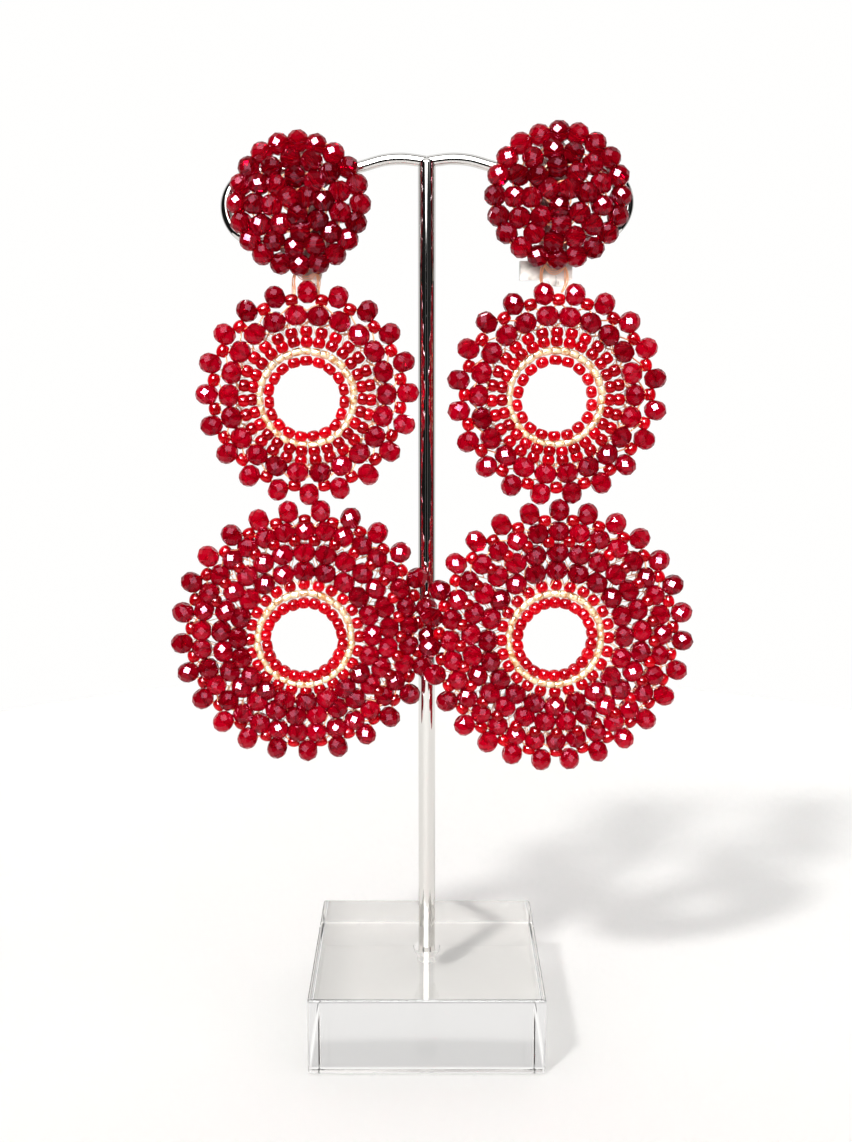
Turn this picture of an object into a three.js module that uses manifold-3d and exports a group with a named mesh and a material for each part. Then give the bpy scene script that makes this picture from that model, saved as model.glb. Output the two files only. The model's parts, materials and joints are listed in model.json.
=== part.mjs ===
// A pair of beaded statement earrings, clipped on the arms of a chrome T-bar stand.
// Millimetres, +Z up, the viewer's side is -Y, and the origin is on the underside of
// the acrylic block, on the axis of the post.
import * as THREE from 'three';
import { mergeVertices } from 'three/addons/utils/BufferGeometryUtils.js';
import Module from 'manifold-3d';

// Stand
const BLOCK_SIDE = 44.5;
const BLOCK_HEIGHT = 14.8;
const BLOCK_BEVEL = 0.4;
const BORE_FLOOR = 7.7;
const MOUTH_DEPTH = 4.8;
const MOUTH_RADIUS = 2.7;
const POST_RADIUS = 1.65;
const POST_TOP = 169.2;
const WIRE_RADIUS = 1.1;
const CURL_RADIUS = 6.3;
const GAP = 0.3;

// Beads: a rondelle measures 4 mm across by 3.2 mm along its hole
const RONDELLE_ACROSS = 1.95;
const PICOT_HALF = 1.75;
const SMALL_HALF = 1.05;
const PICOT_STEP = 1.7;
const LOW_RONDELLE_HALF = 1.15;
const HOLE_RADIUS = 6.35;
const DOME_HALF = 1.65;
const SEED_HALF = 0.8;
const THREAD_RADIUS = 0.35;
const NECK_SHARE = 0.74;

// Layers, measured along Y from the axis of the post
const PLATE_BACK = -1.4;
const PLATE_THICKNESS = 0.8;
const BACKING_BACK = -2.5;
const BACKING_THICKNESS = 0.5;
const THREAD_Y = -3.75;
const DOME_Y = -6.2;
const DROP_Y = -6.4;
const DROP_YAW = THREE.MathUtils.degToRad(5.5);

// Clip
const PLATE_HALF_WIDTH = 2.6;
const TAB_RADIUS = 1.9;
const TAB_LENGTH = 4.4;
const EAR_INNER = 4.1;
const EAR_THICKNESS = 0.7;
const EAR_BACK = 1.6;
const EAR_BELOW_PIN = 1.2;
const EAR_ABOVE_PIN = 2.3;
const LEVER_PIN_Y = 0.5;
const LEVER_PIN_RADIUS = 0.7;
const LEVER_FRONT = 1.45;
const LEVER_THICKNESS = 0.8;
const LEVER_WINDOW = 1.5;
const NECK_WIDTH = 3.2;
const PLATE_ABOVE_BUTTON = 10.4;
const LEVER_BELOW_PLATE = 0.3;
const LEVER_ABOVE_PIVOT = 3.7;
const LEVER_ABOVE_PIN = 3.0;
const NECK_OVERLAP = 1.0;
const WINDOW_BELOW = 1.4;
const WINDOW_ABOVE = 4.6;

const SIDES = [
  {
    name: 'left',
    outward: -1,
    curl: { x: -30.8, z: 160.2 },
    button: { x: -23.2, z: 160.5, scale: 1.0 },
    pivot: { x: -22.2, z: 149.2 },
    tab: { x: 0.9, z: -1.3 },
    hinge: { x: 0, z: 2.6 },
    mid: { x: -21.9, z: 126.2, rondelleOnTop: true, drift: { x: -0.25, z: -1.0 } },
    low: {
      outer: { x: -22.85, z: 81.25 },
      hole: { x: -23.2, z: 79.5 },
      scale: 1.0,
      pairs: 25,
      ringCounts: [33, 25, 20],
      rondelleOnTop: false,
    },
  },
  {
    name: 'right',
    outward: 1,
    curl: { x: 30.9, z: 161.0 },
    button: { x: 23.7, z: 161.9, scale: 1.027 },
    pivot: { x: 23.3, z: 150.4 },
    tab: { x: 0.8, z: -2.8 },
    hinge: { x: -1.2, z: -2.3 },
    mid: { x: 24.1, z: 126.0, rondelleOnTop: false, drift: { x: -0.5, z: -0.7 } },
    low: {
      outer: { x: 24.7, z: 80.1 },
      hole: { x: 24.2, z: 79.7 },
      scale: 1.038,
      pairs: 27,
      ringCounts: [32, 25, 20],
      rondelleOnTop: true,
    },
  },
];

const RUBY = { color: 0x7d0418, roughness: 0.12, metalness: 0.0 };
const RED = { color: 0xb8051c, roughness: 0.2, metalness: 0.0 };
const GOLD = { color: 0xd9c9a0, roughness: 0.3, metalness: 0.6 };
const THREAD = { color: 0xd8ad94, roughness: 0.5, metalness: 0.2 };
const SILVER = { color: 0xb8b4ad, roughness: 0.3, metalness: 1.0 };
const CHROME = { color: 0xdcdcdc, roughness: 0.08, metalness: 1.0 };
const ACRYLIC = { color: 0xf2f6f6, roughness: 0.05, metalness: 0.0 };

const wasm = await Module();
wasm.setup();

const part = new THREE.Group();

function addMesh(parent, name, geometry, look) {
  const mesh = new THREE.Mesh(geometry, new THREE.MeshStandardMaterial(look));
  mesh.name = name;
  parent.add(mesh);
  return mesh;
}

// Keeps only positions and shares the vertices that lie together
function welded(geometry) {
  const bare = geometry.clone();
  bare.deleteAttribute('normal');
  bare.deleteAttribute('uv');
  return mergeVertices(bare, 1e-4);
}

function toSolid(geometry) {
  const bare = welded(geometry);
  return new wasm.Manifold(new wasm.Mesh({
    numProp: 3,
    vertProperties: new Float32Array(bare.attributes.position.array),
    triVerts: new Uint32Array(bare.index.array),
  }));
}

function toGeometry(solid) {
  const mesh = solid.getMesh();
  const geometry = new THREE.BufferGeometry();
  geometry.setAttribute('position', new THREE.BufferAttribute(mesh.vertProperties, 3));
  geometry.setIndex(new THREE.BufferAttribute(mesh.triVerts, 1));
  geometry.computeVertexNormals();
  return geometry;
}

function joined(geometries) {
  const solids = geometries.map(toSolid);
  return toGeometry(solids.reduce((sum, solid) => sum.add(solid)));
}

// A flat outline in the XZ plane, extruded backward from yFront by its thickness
function plate(shape, yFront, thickness) {
  const options = { depth: thickness, bevelEnabled: false, curveSegments: 6 };
  const geometry = new THREE.ExtrudeGeometry(shape, options);
  geometry.rotateX(Math.PI / 2);
  geometry.translate(0, yFront + thickness, 0);
  return geometry;
}

// A strip with round ends, from zLow to zHigh
function stadium(halfWidth, zLow, zHigh) {
  const shape = new THREE.Shape();
  shape.absarc(0, zHigh - halfWidth, halfWidth, 0, Math.PI, false);
  shape.absarc(0, zLow + halfWidth, halfWidth, Math.PI, 2 * Math.PI, false);
  shape.closePath();
  return shape;
}

function tubeAlong(curve, radius, sides, steps) {
  const section = new THREE.Shape();
  section.absarc(0, 0, radius, 0, 2 * Math.PI, false);
  const corners = section.getSpacedPoints(sides).slice(0, sides);
  const options = { steps, extrudePath: curve, bevelEnabled: false };
  return new THREE.ExtrudeGeometry(new THREE.Shape(corners), options);
}

// A closed ring of beads in the XZ plane. Each station of the ring has an angle, a
// radius, and the half sizes of its section across the ring and through the disc.
function beadRing(stations, sides) {
  const geometry = new THREE.TorusGeometry(10, 1, sides, stations.length);
  const position = geometry.attributes.position;
  const columns = stations.length + 1;
  for (let index = 0; index < position.count; index += 1) {
    const station = stations[(index % columns) % stations.length];
    const turn = (Math.floor(index / columns) % sides) * 2 * Math.PI / sides;
    const reach = station.radius + station.across * Math.cos(turn);
    position.setXYZ(
      index,
      reach * Math.cos(station.angle),
      -station.depth * Math.sin(turn),
      reach * Math.sin(station.angle),
    );
  }
  return welded(geometry);
}

// Beads of one kind, with a waist between each two
function evenRing({ radius, count, across, depth, phase = 0 }) {
  const stations = [];
  for (let bead = 0; bead < count; bead += 1) {
    const angle = Math.PI / 2 + (bead + phase) * 2 * Math.PI / count;
    stations.push({ angle, radius, across, depth });
    stations.push({
      angle: angle + Math.PI / count,
      radius,
      across: across * NECK_SHARE,
      depth: depth * NECK_SHARE,
    });
  }
  return beadRing(stations, 5);
}

// Large beads standing out of the edge, with a small bead between each two
function picotRing({ radius, smallRadius, pairs, largeOnTop }) {
  const stations = [];
  const pitch = 2 * Math.PI / pairs;
  const start = Math.PI / 2 + (largeOnTop ? 0 : pitch / 2);
  const neck = {
    radius: 0.5 * (radius + smallRadius),
    across: SMALL_HALF * NECK_SHARE,
    depth: SMALL_HALF * NECK_SHARE,
  };
  for (let pair = 0; pair < pairs; pair += 1) {
    const angle = start + pair * pitch;
    stations.push({ angle, radius, across: PICOT_HALF, depth: PICOT_HALF });
    stations.push({ angle: angle + 0.31 * pitch, ...neck });
    stations.push({
      angle: angle + 0.5 * pitch,
      radius: smallRadius,
      across: SMALL_HALF,
      depth: SMALL_HALF,
    });
    stations.push({ angle: angle + 0.69 * pitch, ...neck });
  }
  return beadRing(stations, 5);
}

// A row of small seed beads, plain, as one tube
function seedRing(radius, across, depth) {
  const stations = [];
  const count = 24;
  for (let step = 0; step < count; step += 1) {
    stations.push({ angle: step * 2 * Math.PI / count, radius, across, depth });
  }
  return beadRing(stations, 5);
}

function makeBlock() {
  const half = BLOCK_SIDE / 2 - BLOCK_BEVEL;
  const outline = new THREE.Shape();
  outline.moveTo(-half, -half);
  outline.lineTo(half, -half);
  outline.lineTo(half, half);
  outline.lineTo(-half, half);
  outline.closePath();
  const block = new THREE.ExtrudeGeometry(outline, {
    depth: BLOCK_HEIGHT - 2 * BLOCK_BEVEL,
    bevelThickness: BLOCK_BEVEL,
    bevelSize: BLOCK_BEVEL,
    bevelSegments: 2,
  });
  block.translate(0, 0, BLOCK_BEVEL);
  const boreRadius = POST_RADIUS + GAP;
  const profile = [
    new THREE.Vector2(0, BORE_FLOOR),
    new THREE.Vector2(boreRadius, BORE_FLOOR),
    new THREE.Vector2(boreRadius, BLOCK_HEIGHT - MOUTH_DEPTH),
    new THREE.Vector2(MOUTH_RADIUS, BLOCK_HEIGHT),
    new THREE.Vector2(MOUTH_RADIUS, BLOCK_HEIGHT + 1),
    new THREE.Vector2(0, BLOCK_HEIGHT + 1),
  ];
  const bore = new THREE.LatheGeometry(profile, 16);
  bore.rotateX(Math.PI / 2);
  addMesh(part, 'base_block', toGeometry(toSolid(block).subtract(toSolid(bore))), ACRYLIC);
}

// One arm leaves the post level, rises a little, runs behind the button and curls
// down and back in
function armCurve(side) {
  const points = [
    [0.2, POST_TOP - 0.9],
    [3.6, 168.8],
    [7.2, 169.1],
    [12.2, 167.5],
    [18.5, 166.9],
    [25.0, 167.1],
  ].map(([x, z]) => new THREE.Vector3(side.outward * x, 0, z));
  const firstTurn = THREE.MathUtils.degToRad(82);
  const lastTurn = THREE.MathUtils.degToRad(-112);
  const turns = 9;
  for (let step = 0; step <= turns; step += 1) {
    const angle = firstTurn + (lastTurn - firstTurn) * step / turns;
    points.push(new THREE.Vector3(
      side.curl.x + side.outward * CURL_RADIUS * Math.cos(angle),
      0,
      side.curl.z + CURL_RADIUS * Math.sin(angle),
    ));
  }
  return new THREE.CatmullRomCurve3(points, false, 'centripetal');
}

function makeRod() {
  const foot = BORE_FLOOR + GAP;
  const post = new THREE.CylinderGeometry(POST_RADIUS, POST_RADIUS, POST_TOP - foot, 16);
  post.rotateX(Math.PI / 2);
  post.translate(0, 0, (POST_TOP + foot) / 2);
  const arms = SIDES.map((side) => tubeAlong(armCurve(side), WIRE_RADIUS, 8, 34));
  addMesh(part, 'stand_rod', joined([post, ...arms]), CHROME);
}

// The plate reaches up behind the button's backing, and the lever closes on it behind
// the arm. The hinge is wider than the plate, and the tab below it takes the thread.
function makeClip(side) {
  const hingeX = side.hinge.x;
  const pinZ = side.pivot.z + side.hinge.z;
  const plateTop = side.button.z + PLATE_ABOVE_BUTTON;
  const frameGroup = new THREE.Group();
  frameGroup.position.x = side.pivot.x;
  part.add(frameGroup);

  const plateBack = PLATE_BACK - PLATE_THICKNESS;
  const plateLow = Math.min(side.pivot.z, pinZ - EAR_BELOW_PIN);
  const strip = plate(stadium(PLATE_HALF_WIDTH, plateLow, plateTop), plateBack, PLATE_THICKNESS);
  const tabLow = side.pivot.z + side.tab.z - TAB_RADIUS;
  const tab = plate(stadium(TAB_RADIUS, tabLow, tabLow + TAB_LENGTH), plateBack, PLATE_THICKNESS);
  tab.translate(side.tab.x, 0, 0);
  const earHeight = EAR_BELOW_PIN + EAR_ABOVE_PIN;
  const earZ = pinZ + (EAR_ABOVE_PIN - EAR_BELOW_PIN) / 2;
  const foot = new THREE.BoxGeometry(2 * (EAR_INNER + EAR_THICKNESS), PLATE_THICKNESS, earHeight);
  foot.translate(hingeX, PLATE_BACK - PLATE_THICKNESS / 2, earZ);
  const ears = [-1, 1].map((end) => {
    const ear = new THREE.BoxGeometry(EAR_THICKNESS, EAR_BACK - plateBack, earHeight);
    ear.translate(
      hingeX + end * (EAR_INNER + EAR_THICKNESS / 2),
      (EAR_BACK + plateBack) / 2,
      earZ,
    );
    return ear;
  });
  const frame = joined([strip, tab, foot, ...ears]);
  addMesh(frameGroup, `${side.name}_clip_frame`, frame, SILVER);

  const leverTop = plateTop - LEVER_BELOW_PLATE;
  const leverFoot = Math.max(side.pivot.z + LEVER_ABOVE_PIVOT, pinZ + LEVER_ABOVE_PIN);
  const neckRise = leverFoot + NECK_OVERLAP - pinZ;
  const shape = stadium(PLATE_HALF_WIDTH, leverFoot, leverTop);
  const opening = stadium(LEVER_WINDOW, leverFoot + WINDOW_BELOW, leverTop - WINDOW_ABOVE);
  shape.holes.push(new THREE.Path(opening.getPoints(6)));
  const paddle = plate(shape, LEVER_FRONT, LEVER_THICKNESS);
  const neckShape = new THREE.Shape();
  neckShape.moveTo(-LEVER_PIN_RADIUS, LEVER_PIN_RADIUS * -0.2);
  neckShape.lineTo(LEVER_PIN_RADIUS, LEVER_PIN_RADIUS * -0.2);
  neckShape.lineTo(LEVER_THICKNESS + LEVER_FRONT - LEVER_PIN_Y, neckRise);
  neckShape.lineTo(LEVER_FRONT - LEVER_PIN_Y, neckRise);
  neckShape.closePath();
  const neck = new THREE.ExtrudeGeometry(neckShape, { depth: NECK_WIDTH, bevelEnabled: false });
  neck.rotateX(Math.PI / 2);
  neck.rotateZ(Math.PI / 2);
  neck.translate(-NECK_WIDTH / 2, LEVER_PIN_Y, pinZ);
  const barrelWidth = 2 * (EAR_INNER - GAP);
  const barrel = new THREE.CylinderGeometry(LEVER_PIN_RADIUS, LEVER_PIN_RADIUS, barrelWidth, 10);
  barrel.rotateZ(Math.PI / 2);
  barrel.translate(hingeX, LEVER_PIN_Y, pinZ);
  addMesh(frameGroup, `${side.name}_clip_lever`, joined([paddle, neck, barrel]), SILVER);
}

// The dome: three rings of beads that step forward, and one in the centre
function makeButton(side) {
  const { x, z, scale } = side.button;
  const group = new THREE.Group();
  group.position.set(x, 0, z);
  part.add(group);
  const backing = new THREE.CylinderGeometry(10.6 * scale, 10.6 * scale, BACKING_THICKNESS, 24);
  backing.translate(0, BACKING_BACK - BACKING_THICKNESS / 2, 0);
  addMesh(group, `${side.name}_button_backing`, backing, SILVER);
  const rings = [
    { name: 'outer', radius: 11.0, count: 20, forward: 0, depth: DOME_HALF },
    { name: 'middle', radius: 7.4, count: 13, forward: 1.1, depth: DOME_HALF },
    { name: 'inner', radius: 3.9, count: 7, forward: 1.9, depth: DOME_HALF },
  ];
  for (const ring of rings) {
    const geometry = evenRing({
      radius: ring.radius * scale,
      count: ring.count,
      across: DOME_HALF - 0.05,
      depth: ring.depth,
    });
    geometry.translate(0, DOME_Y - ring.forward, 0);
    addMesh(group, `${side.name}_button_${ring.name}`, geometry, RUBY);
  }
  const centre = new THREE.IcosahedronGeometry(DOME_HALF, 1);
  centre.translate(0, DOME_Y - 2.4, 0);
  addMesh(group, `${side.name}_button_centre`, centre, RUBY);
}

// Moves a ring made about the origin into the plane of its drop
function addToDrop(side, name, geometry, x, z, look) {
  const drop = new THREE.Group();
  drop.position.set(side.pivot.x, DROP_Y, side.pivot.z);
  drop.rotation.z = DROP_YAW;
  const mesh = addMesh(drop, `${side.name}_${name}`, geometry, look);
  mesh.position.set((x - side.pivot.x) / Math.cos(DROP_YAW), 0, z - side.pivot.z);
  part.add(drop);
}

function makeHangThread(side) {
  const loop = new THREE.TorusGeometry(2.5, THREAD_RADIUS, 5, 18);
  loop.rotateX(Math.PI / 2);
  loop.scale(1, 1, 1.16);
  const mesh = addMesh(part, `${side.name}_hang_thread`, welded(loop), THREAD);
  mesh.position.set(side.pivot.x, THREAD_Y, side.pivot.z - 2.5);
}

// The inner rings sit a little off the middle of the outer ones, as they were sewn
function makeMid(side) {
  const { x, z, rondelleOnTop, drift } = side.mid;
  const place = (name, geometry, share, look) => {
    addToDrop(side, name, geometry, x + drift.x * share, z + drift.z * share, look);
  };
  const outer = picotRing({
    radius: 18.7,
    smallRadius: 18.7 - PICOT_STEP,
    pairs: 20,
    largeOnTop: rondelleOnTop,
  });
  const rondelles = evenRing({ radius: 14.35, count: 22, across: 1.3, depth: RONDELLE_ACROSS });
  place('mid_outer', outer, 0, RUBY);
  place('mid_rondelles', rondelles, 0.15, RUBY);
  place('mid_seeds', seedRing(10.95, 1.5, 1.0), 0.5, RED);
  place('mid_gold', seedRing(8.65, 0.4, 0.7), 0.8, GOLD);
  place('mid_inner_seeds', seedRing(6.95, 0.75, 0.9), 1.0, RED);
}

// The rings drift from the outer centre to the centre of the hole as they shrink
function makeLow(side) {
  const { outer, hole, scale, pairs, ringCounts, rondelleOnTop } = side.low;
  const outerRadius = 23.3 * scale;
  const smallRadius = outerRadius - PICOT_STEP;
  const outerEdge = smallRadius - SMALL_HALF;
  const place = (name, geometry, radius, look) => {
    const inward = Math.max(0, (outerEdge - radius) / (outerEdge - HOLE_RADIUS));
    const x = outer.x + (hole.x - outer.x) * inward;
    const z = outer.z + (hole.z - outer.z) * inward;
    addToDrop(side, name, geometry, x, z, look);
  };
  const picots = picotRing({
    radius: outerRadius,
    smallRadius,
    pairs,
    largeOnTop: rondelleOnTop,
  });
  place('low_outer', picots, outerRadius, RUBY);
  const rings = [
    { name: 'low_ring_a', radius: 18.9 * scale },
    { name: 'low_ring_b', radius: 15.95 * scale },
    { name: 'low_ring_c', radius: 12.95 * scale },
  ];
  for (const [index, ring] of rings.entries()) {
    const geometry = evenRing({
      radius: ring.radius,
      count: ringCounts[index],
      across: LOW_RONDELLE_HALF,
      depth: RONDELLE_ACROSS,
    });
    place(ring.name, geometry, ring.radius, RUBY);
  }
  place('low_seeds', seedRing(10.5, 0.55, 0.95), 10.5, RED);
  place('low_gold', seedRing(9.1, 0.4, 0.7), 9.1, GOLD);
  place('low_inner_seeds', seedRing(7.35, SEED_HALF, 0.9), 7.35, RED);
}

makeBlock();
makeRod();
for (const side of SIDES) {
  makeClip(side);
  makeButton(side);
  makeHangThread(side);
  makeMid(side);
  makeLow(side);
}

export default part;
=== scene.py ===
"""Looks for a pair of beaded clip-on earrings on a chrome T-bar stand with a clear block."""
import json
import math
import random

import bmesh
import bpy
from mathutils import Matrix, Vector


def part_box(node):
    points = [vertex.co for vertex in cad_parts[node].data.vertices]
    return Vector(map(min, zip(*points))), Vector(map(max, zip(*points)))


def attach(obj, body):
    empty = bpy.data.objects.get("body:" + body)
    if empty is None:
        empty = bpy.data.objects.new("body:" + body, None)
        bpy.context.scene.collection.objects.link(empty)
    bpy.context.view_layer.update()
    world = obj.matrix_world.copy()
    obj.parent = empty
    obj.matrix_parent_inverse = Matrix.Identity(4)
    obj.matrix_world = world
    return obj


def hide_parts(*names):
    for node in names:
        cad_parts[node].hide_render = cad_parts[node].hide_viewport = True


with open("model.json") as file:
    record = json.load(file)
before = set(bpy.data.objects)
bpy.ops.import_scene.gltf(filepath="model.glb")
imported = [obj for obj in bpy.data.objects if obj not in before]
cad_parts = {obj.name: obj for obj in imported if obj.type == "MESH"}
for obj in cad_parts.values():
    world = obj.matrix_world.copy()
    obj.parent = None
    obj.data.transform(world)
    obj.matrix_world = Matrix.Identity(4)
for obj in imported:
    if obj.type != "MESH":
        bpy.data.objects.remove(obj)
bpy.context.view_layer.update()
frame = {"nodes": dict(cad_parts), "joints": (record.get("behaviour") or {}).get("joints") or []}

MM = 0.001
SIDES = ("left", "right")
TURN = 2 * math.pi
TOP = math.pi / 2

# Camera
CAMERA_AT = Vector((-0.15, -269.1, 144.5)) * MM
CAMERA_PITCH = math.radians(9.0)
LENS_MM = 44.85
SENSOR_MM = 36.0
SHIFT_Y = -0.0459
NEAREST = 0.01

# The even room that plain surfaces see, and the key light, a sun with soft edges
ROOM_TINT = (1.0, 0.997, 0.99)
AMBIENT = 1.0
KEY_DIRECTION = Vector((0.52, 0.74, -1.0))
KEY_ANGLE = math.radians(6)
KEY_STRENGTH = 1.72
KEY_TINT = (1.0, 0.985, 0.96)

# The room seen through glass: sines of the elevation, and its strength there
ROOM_ABOVE = ((0.0, 1.0), (0.26, 1.0), (0.45, 0.84), (0.484, 0.82), (0.488, 0.66), (1.0, 0.66))

# The dark room that polished surfaces reflect, and its lamps, each with its direction, the
# degrees from it where the light starts and where it is full, and its strength
ROOM_DARK = 0.012
ROOM_LAMPS = (
    ((0.0, 1.0, 0.1), 78, 66, 1.0),
    ((-0.15, -1.0, 0.70), 33, 31, 8.0),
    ((-0.22, -1.0, 0.62), 19, 17, 150.0),
    ((0.50, -0.85, 0.26), 11, 9, 1.2),
    ((0.0, -0.1, 1.0), 40, 30, 0.4),
)
# Its upright bands of light: degrees to the right in front, half width in degrees, strength
ROOM_BANDS = ((-18, 1.6, 0.30), (12, 2.0, 0.35), (44, 1.6, 0.25))

# Floor, in metres: a disc just under the block
FLOOR_REACH = 0.26
FLOOR_Z = -0.0001
FLOOR_SIDES = 96

# Beads, in mm: across the hole, along the hole
RONDELLE = (4.4, 3.6)
TIGHT_RONDELLE = (4.2, 3.6)
PICOT = (4.35, 3.55)
DOME_BEAD = (4.25, 3.65)
SMALL_BEAD = (2.35, 2.4)
OUTER_SEED = (2.4, 2.05)
SEED = (2.35, 2.05)
INNER_SEED = (2.4, 1.9)
GOLD_BEAD = (1.5, 1.82)
HOLE = 0.5

# A round bead: the share of its radius that is rounded off at the hole's mouth, how far its
# bore reaches towards the ends, and how squarely its belly is filled out
MOUTH_ROUNDING = 0.12
BORE_REACH = 0.9
SMALL_FULLNESS = 0.8
SEED_FULLNESS = 0.6
GOLD_FULLNESS = 0.35

# A cut bead: its facets round, and its kite tips, shoulders, rim and sunken mouth as shares
# of its half length or its radius
FACETS = 8
KITE_TIP = 0.40
SHOULDER = 0.80
RIM_RADIUS = 0.42
MOUTH = 0.97

# How unevenly beads are sewn: radians round the ring, mm along its radius, mm forward, and
# radians of lean
ANGLE_PLAY = 0.006
RADIUS_PLAY = 0.12
FORWARD_PLAY = 0.15
LEAN_PLAY = 0.10

# Tones, from 0 for the darkest of a material's two shades to 1 for the lightest
EVEN_TONE = 0.5
CUT_TONES = (0.3, 1.0)
DOME_TONES = (0.1, 0.7)
HANG_TONES = (0.5, 1.0)

# The thread of the rings, and the finer strands of the hang loops, in mm
THREAD_RADIUS = 0.17
THREAD_SIDES = 6
STRAND_RADIUS = 0.09
STRAND_SIDES = 7

# Middle disc, in mm: pairs of edge beads and the radii of the large and the small ones, then
# the count and the radius of each ring inside, the seed beads in two rows
MID_EDGE = (20, 18.6, 17.3)
MID_RONDELLES = (22, 14.55)
MID_SEEDS = (27, (11.85, 10.15))
SEEDS_FORWARD = 0.1
MID_GOLD = (31, 8.65)
MID_INNER_RADIUS = 7.0
# Each side's own: whether a large bead stands at the top of the edge, and the innermost count
MID = {
    "left": {"top": True, "inner": 19},
    "right": {"top": False, "inner": 18},
}

# Lower disc, in mm: the radius of the large edge beads, how far inside it the small ones are,
# and the radii of the three rings of cut beads, all of them before the side's own scale
LOW_EDGE = 23.3
LOW_EDGE_STEP = 1.75
LOW_RINGS = (("low_ring_a", 19.6), ("low_ring_b", 15.85), ("low_ring_c", 12.65))
# The count and the radius of each inner ring, which is the same size on both sides
LOW_SEEDS = (24, 10.35)
LOW_GOLD = (33, 8.85)
LOW_INNER_SEEDS = (22, 7.15)
# The beads that fill the step inside the edge: how many would go round, radius and mm forward
FILLER_COUNT = 29
FILLER_RADIUS = 17.9
FILLER_FORWARD = 0.85
# Each side's own: as above, with the counts of the three rings, and the filled stretch in
# degrees from the right, turning up
LOW = {
    "left": {"top": False, "pairs": 25, "scale": 1.0, "filled": (-50, 165), "counts": (33, 25, 20)},
    "right": {"top": True, "pairs": 27, "scale": 1.038, "filled": (-90, 270), "counts": (32, 25, 20)},
}

# Edge threads of the discs, in mm: the radii where they pass the large beads and the small
# ones, of the zigzag under them, and of the zigzag through the next ring, with its turns
EDGE_THREADS = {
    "mid": {"large": 18.75, "small": 17.05, "zigzag": 16.0, "ring": 14.7, "turns": 22},
    "low": {"large": 23.3, "small": 21.55, "zigzag": 20.9, "ring": 19.6, "turns": 29},
}
# How far forward they lie, and how far the zigzags swing in and out, in mm
EDGE_THREAD_DEPTHS = (-0.14, 0.16)
ZIGZAG_FORWARD = 0.5
ZIGZAG_SWING = 0.75
RING_THREAD_FORWARD = 0.2
RING_THREAD_SWING = 1.9
# The webs between the rings: radius, turns, swing in and out, mm forward
WEBS = {
    "mid_rondelles": ((13.5, 27, 0.9, 0.5), (13.2, 22, 0.7, -0.6)),
    "mid_seeds": ((11.0, 54, 2.1, 0.3), (11.6, 27, 1.6, -0.3)),
    "low_ring_a": ((17.9, 30, 1.4, 0.4), (18.1, 41, 1.7, -0.4)),
    "low_ring_b": ((14.4, 27, 1.5, 0.4), (14.2, 34, 1.6, -0.4)),
    "low_ring_c": ((11.5, 25, 1.3, 0.5), (11.4, 33, 1.2, -0.4)),
}

# Hang loops. Half of a strand's route from its foot up to its crown, as shares of the loop's
# half width and half height, with how far it has come from the loop's depth to the disc's
HANG_FOOT = {"left": 0.95, "right": 0.6}
HANG_FOOT_HEIGHT = -1.0
HANG_FOOT_DEPTH = 0.8
HANG_SIDE = ((0.95, -0.5, 0.45), (1.0, 0.0, 0.2), (0.85, 0.45, 0.0), (0.45, 0.85, 0.0))
HANG_CROWN = (0.0, 0.95, 0.0)
HANG_STRANDS = 4
HANG_WIDTH = 0.72
HANG_WIDTH_STEP = 0.06
HANG_PLAY = 0.08
# The strands that sag across the loop: shares of its half width and half height, with mm
# forward, and the sag of the first strand and how much less each next one has
SAG_STRANDS = 3
SAG_ROUTE = ((-0.72, 0.5), (-0.4, 0.12), (0.0, -0.05), (0.4, 0.08), (0.72, 0.4))
SAG_FORWARD = 0.6
SAG_LIFT = 0.30
SAG_LIFT_STEP = 0.12

# Buttons, in mm. Rows of the dome: beads, radius, height forward, and the share of the step
# from bead to bead that the row is turned by
DOME_ROWS = ((20, 11.0, 0.0, 0.0), (13, 7.75, 1.35, 0.3), (8, 4.75, 2.3, 0.1), (3, 2.05, 2.9, 0.5))
DOME_LOOSENESS = 1.3
DOME_THREAD_OFFSETS = (-0.35, 0.35)
DOME_THREAD_FORWARD = 0.25
DOME_THREAD_SWING = 0.35
BUTTON_SCALE = {"left": 1.0, "right": 1.027}
# The pierced disc under the dome: rings of wire, and spokes from the innermost to the outermost
SIEVE_WIRE = 0.24
SIEVE_RINGS = (2.2, 4.9, 7.6, 10.3)
SIEVE_RING_POINTS = 40
SIEVE_SPOKES = 10

# As near its axis as a turned profile comes, in mm
AXIS = 0.01

# Stand, in mm. The arm's route is across and up, from the post to where its curl starts
POST_RADIUS = 1.65
POST_TOP = 169.2
POST_CROWN = 0.9
POST_CREASE = 0.02
POST_SIDES = 40
ARM_RADIUS = 1.1
ARM_SIDES = 20
ARM_ROUTE = (
    (0.2, 168.4), (2.4, 168.75), (5.0, 168.95), (8.2, 168.65), (12.2, 167.55), (15.4, 167.0),
    (18.5, 166.9), (25.0, 167.1),
)
CURL_CENTRE = {"left": (30.8, 160.2), "right": (30.9, 161.0)}
CURL_RADIUS = 6.3
CURL_FIRST = math.radians(82)
CURL_LAST = math.radians(-112)
CURL_STEPS = 12
BLOCK_SOFTENING = 0.45
# The bore, and the steps of its mouth, which widens: height, radius
BORE_RADIUS = 1.95
BORE_FLOOR = 7.7
BORE_MOUTH = ((10.0, 1.95), (10.5, 2.05), (11.4, 2.3), (12.8, 2.55), (14.8, 2.7), (16.0, 2.7))


# ---------------------------------------------------------------- mesh building

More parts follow.
